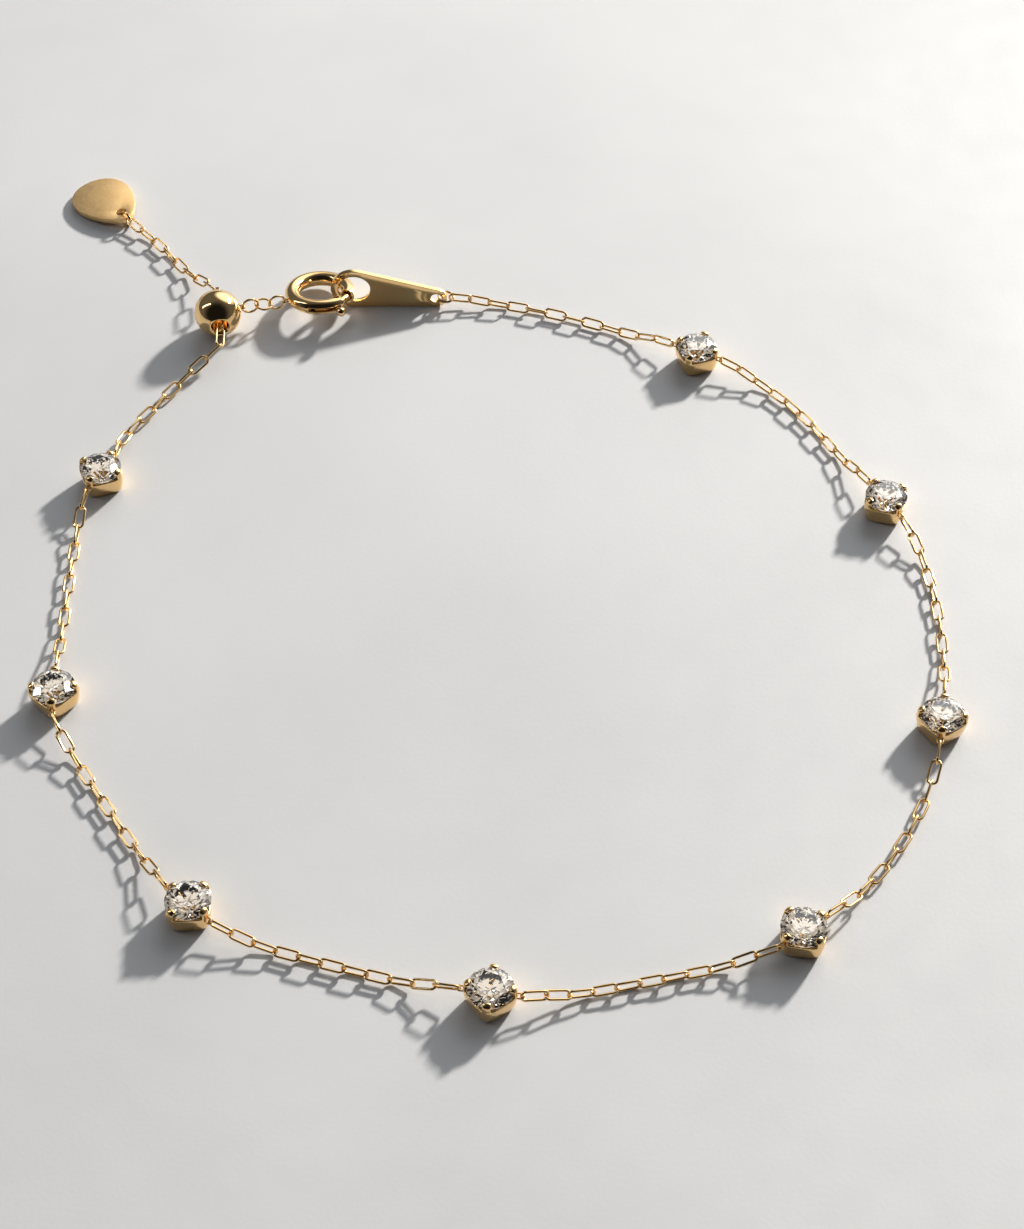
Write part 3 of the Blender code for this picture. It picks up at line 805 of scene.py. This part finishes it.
def makeTag(middle):
    bm = bmesh.new()
    bmesh.ops.create_circle(bm, segments=tag["sides"], radius=1, cap_ends=False)
    for vert in bm.verts:
        vert.co.y *= 1 + tag["egg"] * vert.co.x
    bmesh.ops.scale(bm, vec=(tag["halfLength"], tag["halfWidth"], 1), verts=bm.verts)
    hole = ((-tag["holeOffset"], 0, 0), plate["smallHole"], plate["smallHoleSides"])
    sheetOfMetal(bm, [hole], tag["thick"], tag["rounding"])
    turn = turned(tag["heading"]) @ turned(tag["tilt"], "Y")
    bmesh.ops.transform(bm, matrix=Matrix.Translation(middle) @ turn, verts=bm.verts)
    return bm


joints = adjusterJoints()
hangLinks("links_adjuster", joints, linkMesh, "adjuster_chain", twist=90)
tilt = math.radians(tag["tilt"])
away = towards(tag["heading"]) * math.cos(tilt) - up * math.sin(tilt)
tagHole = joints[-1] + away * (jump["toLink"] + link["bite"])
endTag = makeTag(tagHole + away * tag["holeOffset"])
addPiece("endTag", endTag, golds["tagGold"], "tag_disc", sharpFrom=25)
upright = turned(tag["heading"]) @ turned(90, "X")
tagJump = bmesh.new()
addCopy(tagJump, jumpMesh, Matrix.Translation(tagHole - away * jump["offset"]) @ upright)
addPiece("tagRing", tagJump, golds["linkGold"], "tag_jump_ring")
print("tag made")


# Spring ring
ring = {
    "middle": Vector(frame["joints"][0]["pos_m"]) / mm,
    "tilt": -12,
    "radius": 1.80,
    "tube": 0.475,
    "bore": 0.33,
    "sides": 20,
    "stepAngle": 4,
    "from": -14,
    "to": 318,
    "slot": (254, 310),
    "slotReach": 18,  # round the tube, to either side of its outermost line
    "boreFrom": 246,
    "recess": 12,
    "rounding": 0.03,
}
trigger = {
    "bolt": 0.26,
    "from": -68,
    "to": -9,
    "stepAngle": 3,
    "sides": 20,
    "rounding": 0.10,
    "knobAngle": -58,
    "knobReach": 2.78,
    "knobRadius": 0.30,
    "knobSides": 28,
    "knobRings": 18,
    "stem": 0.10,
    "stemFoot": 1.3,  # width of the stem's foot as a share of its top's
    "stemSides": 16,
}
ringTurn = turned(ring["tilt"], "X")
ringPlace = Matrix.Translation(ring["middle"]) @ ringTurn
toClasp = (ring["middle"] - bead["middle"]) * flat
toClasp.normalize()


# A tube along the clasp's circle between two angles. It gives back the loops at its two ends
def addArc(bm, tubeRadius, start, end, stepAngle, sides):
    spot = towards(start) * ring["radius"]
    first = addCircle(bm, tubeRadius, sides, spot, up.cross(spot))
    steps = round(abs(end - start) / stepAngle)
    return first, bendOn(bm, first, (0, 0, 0), up, end - start, steps)


# Closes the tube's end with a flat rim and sinks a bore in it, between two angles
def sinkBore(bm, end, start, bottom):
    cap = bmesh.ops.holes_fill(bm, edges=end)["faces"]
    rim = (ring["tube"] - ring["bore"]) * math.cos(math.pi / ring["sides"])
    insetBy(bm, cap, rim)
    mouth = cap[0].edges[:]
    bmesh.ops.delete(bm, geom=cap, context="FACES_ONLY")
    steps = round(abs(bottom - start) / ring["stepAngle"])
    bmesh.ops.holes_fill(bm, edges=bendOn(bm, mouth, (0, 0, 0), up, bottom - start, steps))


def inSlot(part):
    middle = part.calc_center_median()
    angle = math.degrees(math.atan2(middle.y, middle.x)) % 360
    low, high = ring["slot"]
    reach = math.radians(ring["slotReach"])
    out = middle.xy.length - ring["radius"]
    return low < angle < high and out > 0 and abs(math.atan2(middle.z, out)) < reach


def eyeAt(place, out):
    return Matrix.Translation(place) @ facing(out, up.cross(out).normalized())


def makeRingBody():
    bm = bmesh.new()
    near, far = addArc(bm, ring["tube"], ring["from"], ring["to"], ring["stepAngle"], ring["sides"])
    sinkBore(bm, far, ring["to"], ring["boreFrom"])
    sinkBore(bm, near, ring["from"], ring["from"] + ring["recess"])
    bmesh.ops.delete(bm, geom=[face for face in bm.faces if inSlot(face)], context="FACES")
    slotEdges = [edge for edge in bm.edges if edge.is_boundary]
    bmesh.ops.bridge_loops(bm, edges=slotEdges)
    closeUp(bm)
    roundEdges(bm, ring["rounding"], segments=2)
    out = ringTurn.to_3x3().inverted() @ -toClasp
    addCopy(bm, eyeMesh, eyeAt(out * (ring["radius"] + ring["tube"]), out))
    bmesh.ops.transform(bm, matrix=ringPlace, verts=bm.verts)
    return bm


def makeTrigger():
    bm = bmesh.new()
    first, last = addArc(
        bm, trigger["bolt"], trigger["from"], trigger["to"], trigger["stepAngle"], trigger["sides"]
    )
    bmesh.ops.holes_fill(bm, edges=first)
    bmesh.ops.holes_fill(bm, edges=last)
    bmesh.ops.recalc_face_normals(bm, faces=bm.faces)
    roundEdges(bm, trigger["rounding"], segments=4)
    out = towards(trigger["knobAngle"])
    length = trigger["knobReach"] - ring["radius"]
    lean = out.to_track_quat("Z", "Y").to_matrix().to_4x4()
    middle = Matrix.Translation(out * (ring["radius"] + length / 2))
    bmesh.ops.create_cone(
        bm, cap_ends=True, segments=trigger["stemSides"], radius1=trigger["stem"] * trigger["stemFoot"],
        radius2=trigger["stem"], depth=length, matrix=middle @ lean,
    )
    knob = Matrix.Translation(out * trigger["knobReach"]) @ lean
    bmesh.ops.create_uvsphere(
        bm, u_segments=trigger["knobSides"], v_segments=trigger["knobRings"],
        radius=trigger["knobRadius"], matrix=knob,
    )
    bmesh.ops.transform(bm, matrix=ringPlace, verts=bm.verts)
    return bm


addPiece("ringBody", makeRingBody(), golds["claspGold"], "clasp_ring", sharpFrom=40)
addPiece(
    "thumbTrigger", makeTrigger(), golds["claspGold"], "clasp_trigger", body="trigger",
    sharpFrom=40,
)
print("spring ring made")


# Slide bead, turned from a half circle round its bore
def makeBead():
    bm = bmesh.new()
    bmesh.ops.create_circle(bm, segments=bead["profile"], radius=bead["radius"], cap_ends=False)
    bmesh.ops.bisect_plane(
        bm, geom=bm.verts[:] + bm.edges[:], dist=cutWithin, plane_co=(bead["mouth"], 0, 0),
        plane_no=(-1, 0, 0), clear_outer=True,
    )
    ends = [vert for vert in bm.verts if len(vert.link_edges) == 1]
    inner = bmesh.ops.extrude_vert_indiv(bm, verts=ends)["verts"]
    for vert in inner:
        vert.co.x = bead["bore"]
        vert.co.y -= math.copysign(bead["lip"], vert.co.y)
    bmesh.ops.contextual_create(bm, geom=inner)
    bmesh.ops.spin(
        bm, geom=bm.verts[:] + bm.edges[:], cent=(0, 0, 0), axis=(0, 1, 0), angle=math.tau,
        steps=bead["sides"], use_merge=True,
    )
    closeUp(bm)
    roundEdges(bm, bead["rounding"], segments=3, fromAngle=bead["roundFrom"])
    turn = turned(bead["heading"] - 90)
    bmesh.ops.transform(bm, matrix=Matrix.Translation(bead["middle"]) @ turn, verts=bm.verts)
    addCopy(bm, eyeMesh, eyeAt(bead["middle"] + toClasp * bead["radius"], toClasp))
    return bm


addPiece("slideBall", makeBead(), golds["beadGold"], "slide_bead", sharpFrom=40)
eyeToJoint = route["seat"] + link["bite"]
firstJoint = bead["middle"] + toClasp * (bead["radius"] + eyeToJoint)
lastJoint = ring["middle"] - toClasp * (ring["radius"] + ring["tube"] + eyeToJoint)
steps = connector["links"]
joints = [firstJoint.lerp(lastJoint, step / steps) for step in range(steps + 1)]
pitch = (joints[1] - joints[0]).length
roundLink = makeRound(pitch / 2 + connector["wire"], connector["wire"])
hangLinks("links_connector", joints, roundLink, "connector_chain")
print("bead made")


# Surface that it lies on
table = {
    "size": 1200,
    "colour": (0.51, 0.525, 0.545, 1),
    "shade": (0.46, 0.475, 0.495, 1),
    "rough": (0.38, 0.50),
    # size in mm and detail of each noise
    "clouds": (25, 4),
    "sheen": (3, 5),
    "grain": (0.25, 6),
    "grainStrength": 0.5,
    "grainDepth": 0.01,
    "squares": 8,
}


def floorFinish():
    material, nodes, links, shader = startMaterial("paleSurface")
    place = nodes.new("ShaderNodeTexCoord")
    clouds = addSpread(nodes, links, addNoise(nodes, links, place, *table["clouds"]), 0.0, 1.0)
    tone = addTone(nodes, links, table["colour"], table["shade"], clouds)
    links.new(tone, shader.inputs["Base Color"])
    sheen = addNoise(nodes, links, place, *table["sheen"])
    links.new(addSpread(nodes, links, sheen, *table["rough"]), shader.inputs["Roughness"])
    grain = addNoise(nodes, links, place, *table["grain"])
    bump = addBump(nodes, links, grain, table["grainStrength"], table["grainDepth"])
    links.new(bump, shader.inputs["Normal"])
    return material


floorMesh = bmesh.new()
bmesh.ops.create_grid(
    floorMesh, x_segments=table["squares"], y_segments=table["squares"], size=table["size"] * mm / 2
)
floor = bpy.data.objects.new("surface", asMesh(floorMesh, "surface"))
floor.data.materials.append(floorFinish())
scene.collection.objects.link(floor)


# Studio: a key light and a bright side behind on the right, in a dim room that is darkest on the
# camera's side, so that the gold mirrors light and dark
softboxes = {
    # heading and height in degrees, distance, width and depth, watts, colour. The gold doesn't mirror
    # the one overhead
    "key": (51, 25, 620, 45, 45, 8.8, (1.0, 0.94, 0.86)),
    "leftStrip": (172, 40, 520, 40, 380, 0.30, (0.92, 0.96, 1.0)),
    "overhead": (300, 80, 560, 520, 520, 0.40, (1.0, 0.98, 0.95)),
}
# Panels that are only seen through the stones, which send light from all round back to the camera
stonePanels = {
    "above": (270, 80, 500, 640, 640, 0.86, (1.0, 0.92, 0.80)),
    "before": (275, 26, 560, 640, 340, 0.31, (1.0, 0.89, 0.74)),
    "leftSide": (182, 32, 560, 520, 340, 0.25, (1.0, 0.89, 0.74)),
    "rightSide": (355, 32, 560, 520, 340, 0.29, (1.0, 0.91, 0.78)),
}
# A small panel that is only mirrored, for highlights
glintPanel = (36, 32, 600, 110, 110, 0.50, (1.0, 0.97, 0.92))
room = {
    "walls": (0.120, 0.122, 0.128, 1),
    # heading and height in degrees, cosines where a side starts and where it is full, colour
    "cameraSide": (268, 38, 0.25, 0.80, (0.010, 0.010, 0.012, 1)),
    "brightSide": (62, 30, 0.78, 0.97, (2.0, 2.0, 2.0, 1)),
}


def aimed(heading, height):
    return towards(heading) * math.cos(math.radians(height)) + up * math.sin(math.radians(height))


def addSoftbox(name, heading, height, distance, width, depth, watts, colour):
    lamp = bpy.data.lights.new(name, "AREA")
    lamp.shape = "RECTANGLE"
    lamp.size = width * mm
    lamp.size_y = depth * mm
    lamp.energy = watts
    lamp.color = colour
    holder = bpy.data.objects.new(name, lamp)
    away = aimed(heading, height)
    holder.location = away * distance * mm
    holder.rotation_euler = (-away).to_track_quat("-Z", "Y").to_euler()
    scene.collection.objects.link(holder)
    return holder


def addRoom():
    world = bpy.data.worlds.new("studio")
    world.use_nodes = True
    nodes, links = world.node_tree.nodes, world.node_tree.links
    place = nodes.new("ShaderNodeTexCoord")
    wall = nodes.new("ShaderNodeRGB")
    wall.outputs["Color"].default_value = room["walls"]
    tone = wall.outputs["Color"]
    for side in ("cameraSide", "brightSide"):
        heading, height, start, full, colour = room[side]
        nearness = nodes.new("ShaderNodeVectorMath")
        nearness.operation = "DOT_PRODUCT"
        nearness.inputs[1].default_value = aimed(heading, height)
        links.new(place.outputs["Generated"], nearness.inputs[0])
        glow = nodes.new("ShaderNodeMapRange")
        glow.interpolation_type = "SMOOTHSTEP"
        glow.inputs["From Min"].default_value = start
        glow.inputs["From Max"].default_value = full
        links.new(nearness.outputs["Value"], glow.inputs["Value"])
        mix = nodes.new("ShaderNodeMix")
        mix.data_type = "RGBA"
        mix.inputs["B"].default_value = colour
        links.new(tone, mix.inputs["A"])
        links.new(glow.outputs["Result"], mix.inputs["Factor"])
        tone = mix.outputs["Result"]
    links.new(tone, nodes["Background"].inputs["Color"])
    scene.world = world


for name, values in softboxes.items():
    softbox = addSoftbox(name, *values)
    softbox.visible_glossy = name != "overhead"
for name, values in stonePanels.items():
    panel = addSoftbox(name, *values)
    panel.visible_glossy = panel.visible_diffuse = False
glint = addSoftbox("glint", *glintPanel)
glint.visible_transmission = glint.visible_diffuse = False
addRoom()
scene.view_settings.view_transform = "Standard"
scene.view_settings.exposure = 0.0
print("studio lit")
